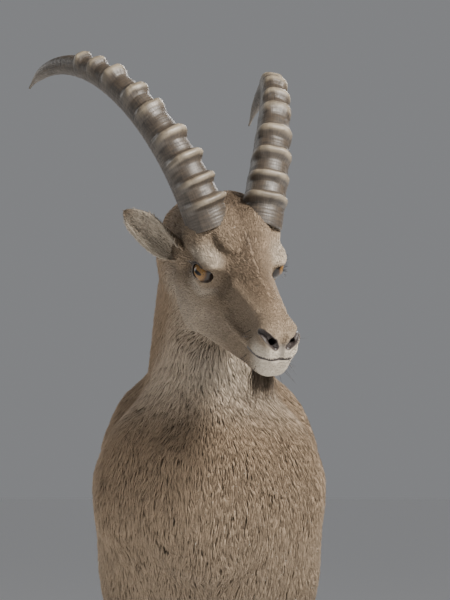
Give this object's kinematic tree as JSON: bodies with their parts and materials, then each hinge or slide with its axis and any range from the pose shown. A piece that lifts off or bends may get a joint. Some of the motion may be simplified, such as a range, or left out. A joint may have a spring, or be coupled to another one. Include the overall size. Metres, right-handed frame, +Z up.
{
  "type": "standing alpine ibex figure",
  "caption": "Life-size male alpine ibex standing still, head turned to its left, with long ridged horns swept back, a short beard and cloven hooves.",
  "frame": {"origin": "on the floor plane the soles stand on, under the centre of the bounding box", "axes": "+X the way the body faces, +Y to the left of the animal, +Z up"},
  "size_m": [1.2112, 0.4434, 1.3192],
  "materials": {
    "coat": "short dense grey-brown fur",
    "dark_coat": "short dark brown fur",
    "dark_hair": "coarse dark hair",
    "horn": "ridged, dull grey-brown keratin",
    "hoof": "dull dark keratin",
    "eye": "glossy amber with a dark slit pupil"
  },
  "bodies": {
    "root": {"beard": "dark_hair", "ear_left": "coat", "ear_right": "coat", "eye_left": "eye", "eye_right": "eye", "head": "coat", "hoof_fore_left_inner": "hoof", "hoof_fore_left_outer": "hoof", "hoof_fore_right_inner": "hoof", "hoof_fore_right_outer": "hoof", "hoof_hind_left_inner": "hoof", "hoof_hind_left_outer": "hoof", "hoof_hind_right_inner": "hoof", "hoof_hind_right_outer": "hoof", "horn_left": "horn", "horn_right": "horn", "leg_fore_left": "dark_coat", "leg_fore_right": "dark_coat", "leg_hind_left": "dark_coat", "leg_hind_right": "dark_coat", "neck": "coat", "tail": "dark_hair", "torso": "coat"}
  },
  "joints": []
}
